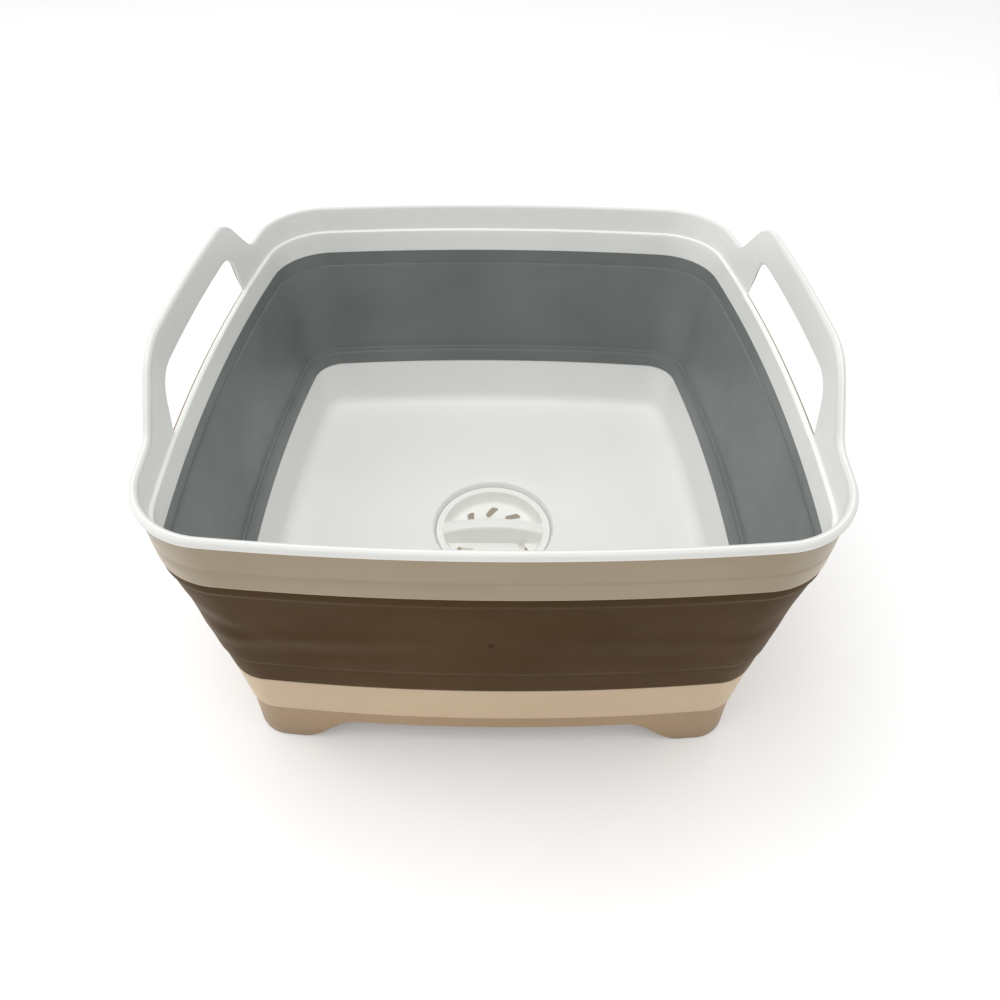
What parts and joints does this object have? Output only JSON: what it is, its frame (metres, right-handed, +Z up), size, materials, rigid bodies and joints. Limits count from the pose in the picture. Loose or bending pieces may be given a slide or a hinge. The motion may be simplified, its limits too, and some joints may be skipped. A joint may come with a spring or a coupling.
{
  "type": "collapsible wash tub",
  "caption": "Rounded-square folding wash tub with a handled rim frame, a soft folding wall, a footed base and a lift-out drain plug.",
  "frame": {"origin": "centre of the overall box, on the surface that the feet stand on, with the tub unfolded", "axes": "+Z up, X from one handle to the other, front at -Y"},
  "size_m": [0.3, 0.29, 0.2031],
  "materials": {
    "frame_plastic": "white moulded polypropylene, satin gloss",
    "base_plastic": "white moulded polypropylene, fine satin",
    "drain_plastic": "white moulded polypropylene, satin gloss",
    "wall_rubber": "grey thermoplastic rubber, smooth satin",
    "seal_rubber": "translucent white silicone"
  },
  "bodies": {
    "base": {"base_tray": "base_plastic", "wall_lower_band": "wall_rubber", "drain_well": "base_plastic"},
    "frame": {"rim_frame": "frame_plastic", "wall_upper_band": "wall_rubber"},
    "fold_1": {"wall_fold_band_1": "wall_rubber"},
    "fold_2": {"wall_fold_band_2": "wall_rubber"},
    "fold_3": {"wall_fold_band_3": "wall_rubber"},
    "fold_4": {"wall_fold_band_4": "wall_rubber"},
    "plug": {"drain_strainer": "drain_plastic", "drain_stopper": "drain_plastic", "drain_seal": "seal_rubber"}
  },
  "joints": [
    {"name": "frame_fold", "type": "slide", "parent": "base", "child": "frame", "axis": [0, 0, -1], "range_m": [0, 0.12]},
    {"name": "fold_1_slide", "type": "slide", "parent": "base", "child": "fold_1", "axis": [0, 0, -1], "range_m": [0, 0.015]},
    {"name": "fold_2_slide", "type": "slide", "parent": "base", "child": "fold_2", "axis": [0, 0, -1], "range_m": [0, 0.045]},
    {"name": "fold_3_slide", "type": "slide", "parent": "base", "child": "fold_3", "axis": [0, 0, -1], "range_m": [0, 0.075]},
    {"name": "fold_4_slide", "type": "slide", "parent": "base", "child": "fold_4", "axis": [0, 0, -1], "range_m": [0, 0.105]},
    {"name": "plug_lift", "type": "slide", "parent": "base", "child": "plug", "axis": [0, 0, 1], "range_m": [0, 0.014]}
  ],
  "couplings": [
    {"joint": "fold_1_slide", "follows": "frame_fold", "ratio": 0.125},
    {"joint": "fold_2_slide", "follows": "frame_fold", "ratio": 0.375},
    {"joint": "fold_3_slide", "follows": "frame_fold", "ratio": 0.625},
    {"joint": "fold_4_slide", "follows": "frame_fold", "ratio": 0.875}
  ]
}
